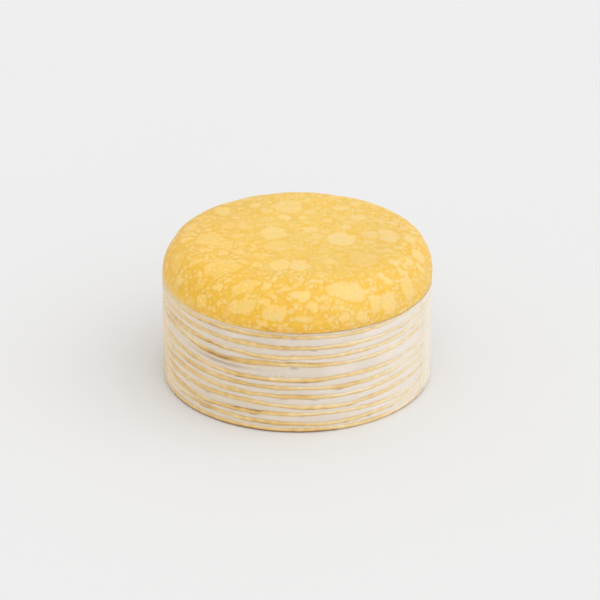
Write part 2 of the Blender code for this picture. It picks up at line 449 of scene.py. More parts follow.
def add_crepe(index, material):
    """One crepe: from under its lower face, round its edge and onto its upper face. The edge is
    half an ellipse, EDGE_ROUNDING deep and as high as the crepe is thick."""
    turn = np.linspace(-np.pi / 2, np.pi / 2, EDGE_ROWS)[:, None]
    across = np.sin(turn)
    middle = crepe_middles[index]
    half = crepe_halves[index]
    recess = CREPE_RECESS + uneven_waves(RECESS_WAVES, index) * MM
    edge = film_inner_radius(middle) - np.clip(recess, *RECESS_LIMITS)
    radius = edge - EDGE_ROUNDING * (1 - np.cos(turn))
    height = middle + half * across
    inner = np.full((1, AROUND), INNER_RADIUS)
    radius = np.concatenate([inner, radius, inner])
    brown_and_shading = crepe_browning_and_shading(index, np.broadcast_to(across, (EDGE_ROWS, AROUND)))
    name = f"crepe_{index + 1:02d}"
    fields = {"brown_and_shading": with_ends(brown_and_shading)}
    crepe = add_turned(name + "_fine", radius, with_ends(height), material, fields)
    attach(crepe, "root")
    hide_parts(name)


crepe_middles = [crepe_middle(index) for index in range(len(CREPE_SHEETS))]
crepe_halves = [crepe_half(index) for index in range(len(CREPE_SHEETS))]
crepe_edge_paint = make_crepe_edge_paint()
for index in range(len(CREPE_SHEETS)):
    add_crepe(index, crepe_edge_paint)

# Cream between the crepes
# Whipped cream spread between the crepes and pressed toward the film, a little behind the crepes'
# edges. It takes up some of their colour where they touch, and air is trapped in one long gap.
# Painted shadow darkens it behind the trapped air. Painted shade greys it at the front and darkens
# it toward the left.
CREAM_ROWS = 19
CREAM_SET_IN = 0.42 * MM
SET_IN_LIMITS = (0.1 * MM, 0.9 * MM)
CREAM_TUCK = 0.5 * MM
CREAM_OVERLAP = 0.15 * MM
CREAM_LEAST = 0.2 * MM
# How far the trapped air sets the cream back, and the strength of the painted shadow behind it.
AIR_DEPTH = 0.9 * MM
AIR_SHADE = 0.75
# Uneven waves and places, given as for the crepes: the cream's set-in in millimetres, how unevenly it
# is stained, and where painted shade greys it at the front.
SET_IN_WAVES = ((0.10, 500, 4, 16), (0.06, 530, 40, 70))
STAIN_WAVES = ((0.25, 560, 5, 30),)
FRONT_SHADE_WAVES = ((0.06, 700, 4, 16),)
FRONT_SHADE_PLACES = ((-12, 36, 0.46),)
CREAM_COOL = srgb(234, 228, 224)
CREAM_WARM = srgb(238, 228, 217)
# Colour of the painted shade at the front.
CREAM_FRONT_SHADE = srgb(206, 200, 191)
# Crepe colour taken up by the cream, also used as painted shade toward the left.
CREPE_STAIN_AND_SHADE = srgb(229, 198, 140)
# Colour of the painted shadow behind trapped air.
AIR_SHADOW = srgb(174, 151, 124)


def make_cream_paint():
    """Off-white cream, faintly warm and cool by turns, with fine pits. One field turns it the colour
    of crepe, partly a real stain and partly painted shade toward the left. Another darkens it with
    painted shadow where it stands behind trapped air. A third greys it with painted shade at the
    front."""
    material, shader, node, join = new_paint("whipped_cream")
    place = node("TexCoord").outputs["Object"]
    tone = noise(node, place, 90.0, 4.0, 0.55)
    pits = noise(node, place, 1500.0, 4.0, 0.7)
    base = mixed(node, ranged(node, tone, 0.35, 0.65), CREAM_COOL, CREAM_WARM)
    front_shaded = mixed(node, read_field(node, "front_shade"), base, CREAM_FRONT_SHADE)
    stained = mixed(node, read_field(node, "stain_and_shade"), front_shaded, CREPE_STAIN_AND_SHADE)
    shaded = mixed(node, read_field(node, "gap"), stained, AIR_SHADOW)
    join(shaded, shader.inputs["Base Color"])
    lift = node("Bump", {"Height": pits, "Strength": 0.15, "Distance": 0.0002})
    join(lift.outputs["Normal"], shader.inputs["Normal"])
    join(ranged(node, tone, 0.3, 0.7, 0.38, 0.52), shader.inputs["Roughness"])
    let_light_in(shader, 0.25, (1.0, 0.8, 0.6), 0.0015)
    return material


def bell_up(share, middle, width):
    """A bell curve of height 1 up a band of cream, its middle and width as shares of the band."""
    return np.exp(-(((share - middle) / width) ** 2))


def trapped_air(index, share):
    """Where air is trapped, 0 to 1, round the cake and up a band's height: a long gap under the
    doubled crepe at the left, a fine row of bubbles under it at the front, and short gaps."""
    air = np.zeros((len(share), AROUND))
    if index == DOUBLED_CREPE - 1:
        air = air + 0.95 * bell_up(share, 0.58, 0.16) * bump_at(AZIMUTH, -34, 15)
        bubbles = np.clip(wander(AZIMUTH, 620, 90, 80), 0, 1) * bump_at(AZIMUTH, -11, 10)
        air = air + 0.6 * bell_up(share, 0.16, 0.06) * bubbles
    short_gaps = np.clip(wander(AZIMUTH, 640 + index, 14, 22) - 1.25, 0, 1)
    air = air + 0.8 * bell_up(share, 0.85, 0.10) * short_gaps
    return np.clip(air, 0, 1)


def cream_stain_and_shade(index, share):
    """How much of the crepes' colour the cream takes up: most beside them, and more at the left,
    where it is partly painted shade.
    """
    whole = 0.10 - 0.14 * np.sin(AZIMUTH)
    beside = (0.55 - 0.15 * np.sin(AZIMUTH)) * np.abs(2 * share - 1) ** 3
    return np.clip(whole + beside * (0.5 + uneven_waves(STAIN_WAVES, index)), 0, 1)


def add_cream(index, material):
    """One band of cream between two crepes: at a share v of its height it stands back from the
    film by CREAM_SET_IN and a tuck of |2v - 1|^3, deeper where air is trapped."""
    share = np.linspace(0, 1, CREAM_ROWS)[:, None]
    low = crepe_middles[index] + crepe_halves[index] - CREAM_OVERLAP
    high = crepe_middles[index + 1] - crepe_halves[index + 1] + CREAM_OVERLAP
    high = np.maximum(high, low + CREAM_LEAST)
    height = low + (high - low) * share
    set_in = CREAM_SET_IN + uneven_waves(SET_IN_WAVES, index) * MM
    air = trapped_air(index, share)
    tuck = CREAM_TUCK * np.abs(2 * share - 1) ** 3
    deep = np.clip(set_in, *SET_IN_LIMITS) + tuck + AIR_DEPTH * air
    inner = np.full((1, AROUND), INNER_RADIUS)
    radius = np.concatenate([inner, film_inner_radius(height) - deep, inner])
    name = f"cream_{index + 1:02d}"
    # Painted shade greying the cream at the front.
    front_shade_amount = bumps_round(FRONT_SHADE_PLACES) + uneven_waves(FRONT_SHADE_WAVES, index)
    fields = {
        "stain_and_shade": with_ends(cream_stain_and_shade(index, share)),
        # Painted shadow in the recess behind the trapped air.
        "gap": with_ends(AIR_SHADE * air),
        "front_shade": np.broadcast_to(np.clip(front_shade_amount, 0, 1), (CREAM_ROWS + 2, AROUND)),
    }
    cream = add_turned(name + "_fine", radius, with_ends(height), material, fields)
    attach(cream, "root")
    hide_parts(name)


cream_paint = make_cream_paint()
for index in range(len(CREPE_SHEETS) - 1):
    add_cream(index, cream_paint)

# Cream of the crown
# The same cream under the top crepe. It shows only as a narrow strip between the film's edge and
# the top crepe's rim, widest at the left, and fills the dome behind the crepe.
CROWN_RADIUS = 75.2 * MM
CROWN_RISE = 25.4 * MM
CROWN_FLATNESS = 8.6
CROWN_SHOULDER = 2.25
TOP_CREPE_THICKNESS = 2.0 * MM
CROWN_CREAM_INSET = 2.4 * MM
RIM_HEIGHT = 60.4 * MM
RIM_SWAY = 0.8 * MM
RIM_HIGH_AZIMUTH = np.radians(-78.0)
WALL_ROWS = 14
DOME_ROWS = 24
LEDGE_ABOVE_RIM = 0.1 * MM
# The strip's wall: how far it stands back from the film, its uneven waves and its limits, all in
# millimetres, and the uneven waves of its stain.
WALL_SET_IN = 0.30
WALL_WAVES = ((0.10, 600, 5, 20), (0.06, 601, 40, 60))
WALL_LIMITS = (0.1, 1.2)
CROWN_STAIN_WAVES = ((0.10, 610, 5, 30),)


def rim_height(azimuth):
    """Height of the top crepe's rim: a wave once and a wave twice round, crests at the left."""
    turn = azimuth - RIM_HIGH_AZIMUTH
    return RIM_HEIGHT + RIM_SWAY * (np.cos(turn) + np.cos(2 * turn))


def crown_profile(angle, inset):
    """Radius and height at an angle t up the crown, set in by an even distance: the radius goes as
    cos(t)^(2/flatness) and the height above the film's edge as sin(t)^(2/shoulder)."""
    radius = (CROWN_RADIUS - inset) * np.clip(np.cos(angle), 0, 1) ** (2 / CROWN_FLATNESS)
    height = COLLAR_TOP + (CROWN_RISE - inset) * np.clip(np.sin(angle), 0, 1) ** (2 / CROWN_SHOULDER)
    return radius, height


def crown_angle(height, inset):
    """The angle up the crown at which its profile reaches a height."""
    share = np.clip((height - COLLAR_TOP) / (CROWN_RISE - inset), 0, 1)
    return np.arcsin(share ** (CROWN_SHOULDER / 2))


def crown_stain_and_shade(share):
    """How much of the crepes' colour the strip takes up: more at its two edges and at the left,
    where it is partly painted shade, and most in its upper half left of the front, where it meets the
    top crepe's rim."""
    stain_and_shade = 0.30 - 0.10 * np.sin(AZIMUTH) + uneven_waves(CROWN_STAIN_WAVES, 0)
    stain_and_shade = stain_and_shade + 0.25 * np.abs(2 * share - 1) + 0.15 * bump_at(AZIMUTH, 0, 20)
    stain_and_shade = stain_and_shade + 0.65 * bump_at(AZIMUTH, -60, 24) * np.clip((share - 0.35) / 0.40, 0, 1)
    return np.clip(stain_and_shade, 0, 1)


def add_crown_cream(material):
    """From the last crepe up the short wall, tucked in at its foot and its head, in over a ledge
    under the rim, and up the dome."""
    low = crepe_middles[-1] + crepe_halves[-1] - CREAM_OVERLAP
    ledge = rim_height(AZIMUTH) + LEDGE_ABOVE_RIM
    share = np.linspace(0, 1, WALL_ROWS)[:, None]
    wall_height = low + (ledge - low) * share
    tuck = 0.6 * np.clip(0.3 - share, 0, 1) + 0.5 * np.clip(share - 0.8, 0, 1) / 0.2
    set_in = WALL_SET_IN + uneven_waves(WALL_WAVES, 0) + tuck
    wall_radius = film_inner_radius(wall_height) - np.clip(set_in, *WALL_LIMITS) * MM
    start = crown_angle(ledge, CROWN_CREAM_INSET)
    climb = np.linspace(0, 1, DOME_ROWS)[:-1, None]
    dome_radius, dome_height = crown_profile(start + (np.pi / 2 - start) * climb, CROWN_CREAM_INSET)
    inner = np.full((1, AROUND), INNER_RADIUS)
    radius = np.concatenate([inner, wall_radius, dome_radius])
    height = np.concatenate([wall_height[:1], wall_height, dome_height])
    stain_and_shade = crown_stain_and_shade(share)
    # Painted shadow along the strip's upper part, from the front to the right, under the top crepe's
    # rim and the film's edge.
    from_front_to_right = np.clip((np.sin(AZIMUTH) + 0.35) / 0.3, 0, 1)
    gap = 0.7 * np.clip((share - 0.72) / 0.2, 0, 1) * from_front_to_right
    rest = np.zeros_like(dome_radius)
    fields = {
        "stain_and_shade": np.concatenate([stain_and_shade[:1], stain_and_shade, rest]),
        "gap": np.concatenate([gap[:1], gap, rest]),
        "front_shade": np.broadcast_to(bumps_round(FRONT_SHADE_PLACES), radius.shape),
    }
    cream = add_turned("cream_11_fine", radius, height, material, fields)
    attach(cream, "root")
    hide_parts("cream_11")


add_crown_cream(cream_paint)

# Top crepe
# One large crepe, griddled golden side up and draped over the crown. Bubbles in its batter left
# pale round marks of all sizes in an amber network, larger and calmer in the middle, small and
# crowded toward the rim. It ends in a soft rim just above the film's edge.
GRID = 291
UNDER_ROWS = 6
# Pale marks, given one by one: right and back from the middle along the surface, in millimetres,
# half width, half depth, and how pale.
LARGE_MARKS = (
    (-13, 0, 8, 9.5, 0.95), (-10.5, -17.5, 7, 7.5, 0.62), (24, -8, 8.5, 9.5, 0.95),
    (-9, -42, 5.5, 7.2, 1.0), (1, -42.5, 6, 7.4, 1.0), (27, -64, 13.2, 5.8, 0.75),
    (50, -3, 6.5, 9, 0.80), (40.5, -1, 5, 6, 0.72), (35, 22, 5.5, 5.5, 0.75),
    (-48, -8, 9, 9, 0.55), (-39, -16, 6, 5.5, 0.55), (-40, -43, 10.5, 9, 0.50),
    (36, -34, 8, 10.5, 0.38), (-32, -72, 8.6, 4.4, 0.75), (-12.5, -78.5, 7.8, 4.8, 0.80),
    (-28, -61.5, 8, 4, 0.60), (2.5, -70, 5.2, 3.4, 0.90), (45, -65.5, 6, 5, 0.80),
    (54, -62, 7.5, 5.2, 0.80), (65, -46, 7.5, 6, 0.65), (7.5, 5, 5.5, 4, 0.80),
    (10.5, -4, 3, 5, 0.60), (-29, 8, 5, 5.6, 0.60), (-38, 10, 4, 5, 0.50),
    (-60, 11, 5, 7, 0.60), (-5, 38, 9.5, 10, 0.60), (7, 30, 4, 5, 0.50),
    (25, 36, 5.5, 6, 0.65), (33, 43, 4.5, 5, 0.55), (-7, 22, 3, 4, 0.90),
    (3, 21, 3, 4, 0.80), (17, 17, 3.6, 2.6, 0.60), (47, 18, 3.5, 3.5, 0.60),
    (27, 9, 3.5, 4, 0.75), (62, -4, 4, 5, 0.75), (68, -18, 6, 5, 0.80),
    (70.5, -27, 4.5, 2.8, 0.85), (52, -35, 4, 2.6, 0.90), (58, -40, 3.2, 2.2, 0.75),
    (48, -49.5, 4.5, 2.6, 0.80), (48, -22, 5, 3.4, 0.60), (-32, -25, 2.6, 3.4, 0.95),
    (-24, -20, 3, 5, 0.60), (-22, -41.5, 4, 3.6, 0.65), (18, -37, 3.6, 3.4, 0.60),
    (-39, -26, 3.6, 3.2, 0.65), (-43, -57.5, 4, 2.6, 0.95), (-50, -23, 3.6, 3, 0.70),
    (-43, 31, 5, 8, 0.60), (-25, 40, 4, 4.5, 0.60), (-68, -24, 5.5, 9, 0.45),
    (-16, -63, 3, 2, 0.90), (11, -60.5, 2.8, 1.6, 0.95), (-18, -73, 3.6, 2.8, 0.80),
    (9, -76, 3.6, 3, 0.80), (28, -79, 3.8, 3.2, 0.85), (40, -76, 4.2, 3, 0.75),
    (3, -82.5, 4.6, 2.4, 0.85),
)
# Deeper amber patches, and small browned spots and the crease beside the front: right and back from
# the middle along the surface, half length and half width in millimetres, turn in degrees, strength.
AMBER_PATCHES = (
    (-22.0, -85.0, 4.5, 8.0, 0, 0.7),
    (-31.0, -86.0, 4.0, 5.0, 0, 0.5),
    (3.0, -90.0, 9.0, 4.0, 0, 0.6),
    (-62.0, -48.0, 9.0, 8.0, 40, 0.5),
    (-48.0, -66.0, 6.0, 5.0, 30, 0.4),
    (20.0, -88.0, 5.0, 3.5, 0, 0.4),
)
BROWN_SPOTS = (
    (-58.5, -69.7, 1.5, 1.1, 0, 0.9),
    (-15.8, -88.6, 6.0, 0.55, -29, 0.6),
    (-27.0, -89.0, 2.0, 1.6, 0, 0.35),
    (-20.0, -91.0, 1.8, 1.4, 0, 0.35),
    (-52.0, -57.0, 1.0, 0.8, 0, 0.4),
)
# Marks thrown at random: how many tries, least and greatest half size in millimetres.
THROWN_MARKS = ((500, 3.0, 5.0), (2600, 1.8, 3.0), (7000, 1.1, 1.8))
MARK_CLEARANCE = 0.98
FAR = 5.0 * MM
MARK_GROWTH = 0.30 * MM
OUTLINE_WIDTH = 0.7 * MM
# How wide a mark's soft border is, as a share of its lesser half size, and its limits.
BORDER_SHARE = 0.28
BORDER_LIMITS = (0.42 * MM, 1.6 * MM)
# The fields' values on the hidden underside.
UNDERSIDE = {"pale": 0.6, "amber": 0.1, "blush": 0.5, "browned_and_shade": 0.0, "crowd": 0.0}
GROUND_PALE = srgb(237, 199, 88)
GROUND_DEEP = srgb(234, 190, 70)
AMBER = srgb(242, 190, 42)
AMBER_LINE = srgb(220, 162, 46)
MARK_IVORY = srgb(238, 209, 137)
MARK_BLUSH = srgb(250, 209, 119)
SPECK = srgb(241, 215, 144)
# Griddled brown, also the colour of the painted shade along the front lip.
GRIDDLED_BROWN_AND_SHADE = srgb(198, 134, 48)


def disc_grid(count):
    """A square grid pressed into a disc: the ring a point lies on is the larger of its two square
    coordinates, and its share of that side becomes its angle in the quarter."""
    side = np.linspace(-1, 1, count)
    u, v = np.meshgrid(side, side)
    ring = np.maximum(np.abs(u), np.abs(v))
    safe = np.where(ring > 0, ring, 1.0)
    across = np.abs(u) >= np.abs(v)
    quarter = np.where(across, v / safe, u / safe) * np.pi / 4
    east = np.where(across, np.sign(u) * np.cos(quarter), np.sin(quarter))
    north = np.where(across, np.sin(quarter), np.sign(v) * np.cos(quarter))
    return ring * east, ring * north


def profile_by_arc():
    """Arc length down the crown's profile from its pole, with the radius and height there."""
    angle = np.linspace(np.pi / 2, 0, 4000)
    radius, height = crown_profile(angle, 0.0)
    radius[0] = 0.0
    step = np.hypot(np.diff(radius), np.diff(height))
    return np.concatenate([[0.0], np.cumsum(step)]), radius, height


def slow_noise(x, y, seed, size, count=40):
    """A soft uneven field of size about 1: a sum of plane waves with drawn directions, whose
    lengths lie round the given size."""
    draw = np.random.default_rng(seed)
    heading = draw.uniform(0, 2 * np.pi, count)
    pitch = 2 * np.pi / (size * draw.uniform(0.6, 1.8, count))
    phase = draw.uniform(0, 2 * np.pi, count)
    total = np.zeros_like(x)
    for angle, rate, start in zip(heading, pitch, phase):
        total += np.sin(rate * (x * np.cos(angle) + y * np.sin(angle)) + start)
    return total / np.sqrt(count / 2)


def crowding(x, y, reach):
    """How crowded with small strong marks the crepe is, 0 to 1: little in the middle and at a calm
    place right of the front, fully toward the rim."""
    out = np.hypot(x, y) / reach
    calm = np.exp(-(((x - 24 * MM) / (24 * MM)) ** 2) - ((y + 38 * MM) / (20 * MM)) ** 2)
    left = np.exp(-(((x + 38 * MM) / (22 * MM)) ** 2) - ((y + 30 * MM) / (14 * MM)) ** 2)
    return np.clip((out - 0.30) / 0.38 - 0.55 * calm + 0.35 * left, 0, 1)


def spots(x, y, places):
    """The sum of soft turned ovals, each a bell curve of its own strength."""
    total = np.zeros_like(x)
    for place_x, place_y, length, width, turn, strength in places:
        dx = x / MM - place_x
        dy = y / MM - place_y
        angle = np.radians(turn)
        along = (dx * np.cos(angle) + dy * np.sin(angle)) / length
        beside = (dy * np.cos(angle) - dx * np.sin(angle)) / width
        total += strength * np.exp(-(along**2) - beside**2)
    return total


def draw_marks(reach):
    """The listed marks, then marks thrown at random from large to small, each kept only where
    it is clear of those before it: faint in the middle, strong toward the rim."""
    draw = np.random.default_rng(7)
    marks = [(x * MM, y * MM, a * MM, b * MM, 0.0, pale) for x, y, a, b, pale in LARGE_MARKS]
    taken = np.zeros((len(marks) + sum(tries for tries, _, _ in THROWN_MARKS), 3))
    taken[: len(marks)] = [(m[0], m[1], max(m[2], m[3])) for m in marks]
    for tries, least, greatest in THROWN_MARKS:
        for _ in range(tries):
            out = reach * np.sqrt(draw.uniform())
            azimuth = draw.uniform(-np.pi, np.pi)
            size = draw.uniform(least, greatest) * MM
            outward = np.clip((out / reach - 0.45) / 0.35, 0, 1)
            squash = draw.uniform(0.62, 1.0) - 0.18 * outward
            turn = draw.uniform(0, np.pi) * (1 - 0.85 * outward) + azimuth * outward
            pale = draw.uniform(0.15, 1.0)
            chance = draw.uniform()
            x = out * np.sin(azimuth)
            y = -out * np.cos(azimuth)
            crowd = crowding(x, y, reach)
            known = taken[: len(marks)]
            gap = np.hypot(known[:, 0] - x, known[:, 1] - y) - MARK_CLEARANCE * (known[:, 2] + size)
            if gap.min() < 0 or chance > 0.55 + 0.45 * crowd:
                continue
            taken[len(marks)] = (x, y, size)
            marks.append((x, y, size, size * squash, turn, pale * (0.66 + 0.34 * crowd)))
    return marks


def mark_fields(x, y, marks):
    """How pale each point is, and how near a mark's outline it is. A point belongs to the mark whose
    edge is nearest; it is pale where it lies within MARK_GROWTH of that edge and well nearer to it
    than to any other, so that crowded marks part along narrow walls."""
    nearest = np.full(x.shape, FAR)
    second = np.full(x.shape, FAR)
    strength = np.zeros_like(x)
    softness = np.full(x.shape, MM)
    for mark_x, mark_y, a, b, turn, pale in marks:
        reach = max(a, b) + 2.2 * MM
        near = np.flatnonzero((np.abs(x - mark_x) < reach) & (np.abs(y - mark_y) < reach))
        dx = x[near] - mark_x
        dy = y[near] - mark_y
        along = (dx * np.cos(turn) + dy * np.sin(turn)) / a
        beside = (dy * np.cos(turn) - dx * np.sin(turn)) / b
        away = (np.hypot(along, beside) - 1) * min(a, b)
        border = np.clip(BORDER_SHARE * min(a, b), *BORDER_LIMITS)
        closer = away < nearest[near]
        second[near] = np.where(closer, nearest[near], np.minimum(second[near], away))
        nearest[near] = np.minimum(nearest[near], away)
        strength[near] = np.where(closer, pale, strength[near])
        softness[near] = np.where(closer, border, softness[near])
    inside = np.clip((MARK_GROWTH - nearest) / softness, 0, 1)
    apart = np.clip((second - nearest) / (0.9 * softness), 0, 1)
    shape = inside * inside * (3 - 2 * inside) * apart * apart * (3 - 2 * apart)
    outline = np.clip(1 - np.abs(nearest - MARK_GROWTH) / OUTLINE_WIDTH, 0, 1) + (1 - apart) * inside
    return strength * shape, np.clip(outline, 0, 1)


def make_top_crepe_paint():
    """Golden griddled crepe: a golden ground with fine amber lines and small pale pebbles, thicker
    where the field 'crowd' is high, deeper amber by 'amber', with pale marks by 'pale', which are
    ivory or, by 'blush', peach. It is darkened by a field of griddled browning that also holds
    painted shade at the front lip. It is finely mottled and faintly moist."""
    material, shader, node, join = new_paint("golden_crepe")
    place = node("TexCoord").outputs["Object"]
    patch = noise(node, place, 85.0, 5.0, 0.6)
    grain = noise(node, place, 900.0, 4.0, 0.65)
    mottle = noise(node, place, 330.0, 4.0, 0.6)
    sway = node("TexNoise", {"Vector": place, "Scale": 300.0, "Detail": 3.0}).outputs["Color"]
    sway = node("VectorMath", {0: sway, 1: (0.5, 0.5, 0.5)}, operation="SUBTRACT").outputs[0]
    sway = node("VectorMath", {0: sway, "Scale": 0.0026}, operation="SCALE").outputs[0]
    swayed = node("VectorMath", {0: place, 1: sway}, operation="ADD").outputs[0]
    cells = node("TexVoronoi", {"Vector": swayed, "Scale": 370.0}, feature="DISTANCE_TO_EDGE")
    pebble = ranged(node, cells.outputs["Distance"], 0.05, 0.15)
    draws = node("TexVoronoi", {"Vector": swayed, "Scale": 370.0}, feature="F1")
    draw = node("SeparateColor", {"Color": draws.outputs["Color"]}).outputs[0]
    crowded = ranged(node, read_field(node, "crowd"), 0.0, 1.0, 0.34, 0.72)
    pebbled = times(node, pebble, times(node, ranged(node, draw, 0.52, 0.66), crowded))
    ground = mixed(node, ranged(node, patch, 0.38, 0.62), GROUND_PALE, GROUND_DEEP)
    deeper = mixed(node, read_field(node, "amber"), ground, AMBER)
    lined_share = ranged(node, cells.outputs["Distance"], 0.0, 0.08, 0.36, 0.0)
    lined = mixed(node, lined_share, deeper, AMBER_LINE)
    mark = mixed(node, read_field(node, "blush"), MARK_IVORY, MARK_BLUSH)
    flecked = mixed(node, pebbled, lined, mark)
    pale_share = times(node, read_field(node, "pale"), ranged(node, mottle, 0.36, 0.60, 0.78, 1.0))
    marked = mixed(node, pale_share, flecked, mark)
    speckled = mixed(node, ranged(node, grain, 0.58, 0.80, 0.0, 0.25), marked, SPECK)
    browned_and_shade = mixed(node, read_field(node, "browned_and_shade"), speckled, GRIDDLED_BROWN_AND_SHADE)
    join(browned_and_shade, shader.inputs["Base Color"])
    join(ranged(node, grain, 0.3, 0.7, 0.46, 0.62), shader.inputs["Roughness"])
    height = node("Math", {0: grain, 1: pebbled}, operation="ADD").outputs[0]
    lift = node("Bump", {"Height": height, "Strength": 0.20, "Distance": 0.0003})
    join(lift.outputs["Normal"], shader.inputs["Normal"])
    let_light_in(shader, 0.12, (1.0, 0.6, 0.25), 0.002)
    shader.inputs["Coat Weight"].default_value = 0.06
    shader.inputs["Coat Roughness"].default_value = 0.4
    return material


def crown_relief(x, y, azimuth, ring, pale, outline):
    """Relief in metres: slow swells that fade at the rim, marks stood up and their outlines sunk,
    the middle kept below the crown's height, and a shoulder that is fuller at the right and the
    back and lower at the back left."""
    along = np.hypot(x, y) / MM
    swell = 0.16 * slow_noise(x, y, 21, 34 * MM) + 0.04 * slow_noise(x, y, 22, 9 * MM)
    relief = (swell * np.clip((1 - ring) * 12, 0, 1) + 0.15 * pale - 0.06 * outline) * MM
    relief = relief - relief.max() * np.clip((60 - along) / 14, 0, 1)
    right = bump_at(azimuth, 88, 48) * np.exp(-(((along - 77) / 12) ** 2))
    back = bump_at(azimuth, 180, 70) * np.exp(-(((along - 68) / 13) ** 2))
    back_left = bump_at(azimuth, -125, 45) * np.exp(-(((along - 72) / 13) ** 2))
    return relief + (0.60 * right + 0.25 * back - 0.75 * back_left) * MM


def top_crepe_fields(x, y, reach, azimuth, ring):
    """The pattern's fields over the crepe laid flat, and each point's relief in metres, sunk a
    little at the griddled spots."""
    sway_x = 0.24 * slow_noise(x, y, 31, 4.2 * MM) + 0.65 * slow_noise(x, y, 32, 9 * MM)
    sway_y = 0.24 * slow_noise(x, y, 33, 4.2 * MM) + 0.65 * slow_noise(x, y, 34, 9 * MM)
    pale, outline = mark_fields(x + sway_x * MM, y + sway_y * MM, draw_marks(reach))
    crowd = crowding(x, y, reach)
    off_middle = np.clip(ring / 0.5, 0, 1)
    toward_rim = np.clip((ring - 0.60) / 0.35, 0, 1)
    left = np.clip(np.cos(azimuth + np.radians(60)), 0, 1)
    left_front = np.clip(np.cos(azimuth + np.radians(42)), 0, 1)
    left_rim = bump_at(azimuth, -76, 30) * np.clip((ring - 0.94) / 0.05, 0, 1)
    right = np.clip(np.cos(azimuth - np.radians(60)), 0, 1) * off_middle
    back_left = bump_at(azimuth, -125, 40) * off_middle
    front_lip_shade = bump_at(azimuth, 0, 50) * np.clip((ring - 0.95) / 0.03, 0, 1)
    pale = np.maximum(pale * (1 - 0.22 * left), 0.75 * left_rim)
    amber = 0.10 + 0.12 * slow_noise(x, y, 23, 26 * MM) + 0.08 * slow_noise(x, y, 24, 5 * MM)
    amber = amber + (0.12 + 0.38 * crowd) * outline + toward_rim * (0.22 + 0.38 * left_front)
    amber = amber + 0.25 * left * off_middle - 0.15 * back_left - 0.06 * right
    amber = amber - 0.16 * bump_at(azimuth, -8, 30) * toward_rim
    amber = amber * (1 - 0.7 * left_rim) + spots(x, y, AMBER_PATCHES)
    blush = 0.24 + 0.26 * slow_noise(x, y, 25, 8 * MM) + 0.65 * left * off_middle - 0.20 * right
    browned_and_shade = spots(x, y, BROWN_SPOTS)
    relief = crown_relief(x, y, azimuth, ring, pale, outline) - 0.25 * browned_and_shade * MM
    # The front lip's share is painted shade where the crown curves down to its rim; the rest is
    # browning.
    browned_and_shade = browned_and_shade + 0.18 * front_lip_shade + 0.13 * crowd * outline + 0.07 * right
    browned_and_shade = browned_and_shade + (0.10 * back_left + 0.05 * left) * (1 - pale)
    fields = {
        "pale": pale,
        "amber": np.clip(amber, 0, 1),
        "blush": np.clip(blush, 0, 1),
        "browned_and_shade": np.clip(browned_and_shade, 0, 1),
        "crowd": crowd,
    }
    return fields, relief


def add_top_crepe(material):
    """The outer face is the disc grid laid down the crown's profile by arc length, raised at each
    pale mark. From its rim the surface rolls under and runs back up inside to the pole."""
    east, north = disc_grid(GRID)
    east = east.ravel()
    north = north.ravel()
    ring = np.hypot(east, north)
    azimuth = np.arctan2(east, -north)
    arc, arc_radius, arc_height = profile_by_arc()
    rim_arc = np.interp(-rim_height(azimuth), -arc_height, arc)
    along = ring * rim_arc
    radius = np.interp(along, arc, arc_radius)
    height = np.interp(along, arc, arc_height)
    flat_x = along * np.sin(azimuth)
    flat_y = -along * np.cos(azimuth)
    shown, relief = top_crepe_fields(flat_x, flat_y, arc[-1], azimuth, ring)
    tilt_r = np.interp(along, arc, np.gradient(arc_radius, arc))
    tilt_z = np.interp(along, arc, np.gradient(arc_height, arc))
    size = np.hypot(tilt_r, tilt_z)
    radius = radius - relief * tilt_z / size
    height = height + relief * tilt_r / size
    outer = np.stack([radius * np.sin(azimuth), -radius * np.cos(azimuth), height], -1)

    index = np.arange(GRID * GRID).reshape(GRID, GRID)
    quads = np.stack([index[:-1, :-1], index[:-1, 1:], index[1:, 1:], index[1:, :-1]], -1)
    faces = quads.reshape(-1, 4).tolist()
    border = np.concatenate([index[0, :-1], index[:-1, -1], index[-1, :0:-1], index[:0:-1, 0]])
    rim_azimuth = azimuth[border]
    half = TOP_CREPE_THICKNESS / 2
    roll = np.linspace(0, np.pi, 5)[1:, None]
    rolled_radius = radius[border] - half * (1 - np.cos(roll))
    rolled_height = height[border] - 0.45 * half * np.sin(roll)
    start = crown_angle(height[border], TOP_CREPE_THICKNESS)
    climb = np.linspace(0, 1, UNDER_ROWS)[1:-1, None]
    inner_radius, inner_height = crown_profile(start + (np.pi / 2 - start) * climb, TOP_CREPE_THICKNESS)
    under_radius = np.concatenate([rolled_radius, inner_radius])
    under_height = np.concatenate([rolled_height, inner_height])
    under_x = under_radius * np.sin(rim_azimuth)
    under_y = -under_radius * np.cos(rim_azimuth)
    under = np.stack([under_x, under_y, under_height], -1).reshape(-1, 3)
    rows = np.concatenate([[border], GRID * GRID + np.arange(len(under)).reshape(-1, len(border))])
    turned = np.roll(rows, -1, axis=1)
    skirt = np.stack([rows[:-1], rows[1:], turned[1:], turned[:-1]], -1)
    faces += skirt.reshape(-1, 4).tolist()
    pole = GRID * GRID + len(under)
    faces += [(int(a), pole, int(b)) for a, b in zip(rows[-1], turned[-1])]
    top_inside = [[0, 0, COLLAR_TOP + CROWN_RISE - TOP_CREPE_THICKNESS]]
    points = np.concatenate([outer, under, top_inside])
    hidden = len(points) - GRID * GRID
    fields = {}
    for name, value in UNDERSIDE.items():
        fields[name] = np.concatenate([shown[name], np.full(hidden, value)])
    crepe = add_mesh("top_crepe_fine", points, faces, material, fields)
    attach(crepe, "root")
    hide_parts("crepe_top")


add_top_crepe(make_top_crepe_paint())

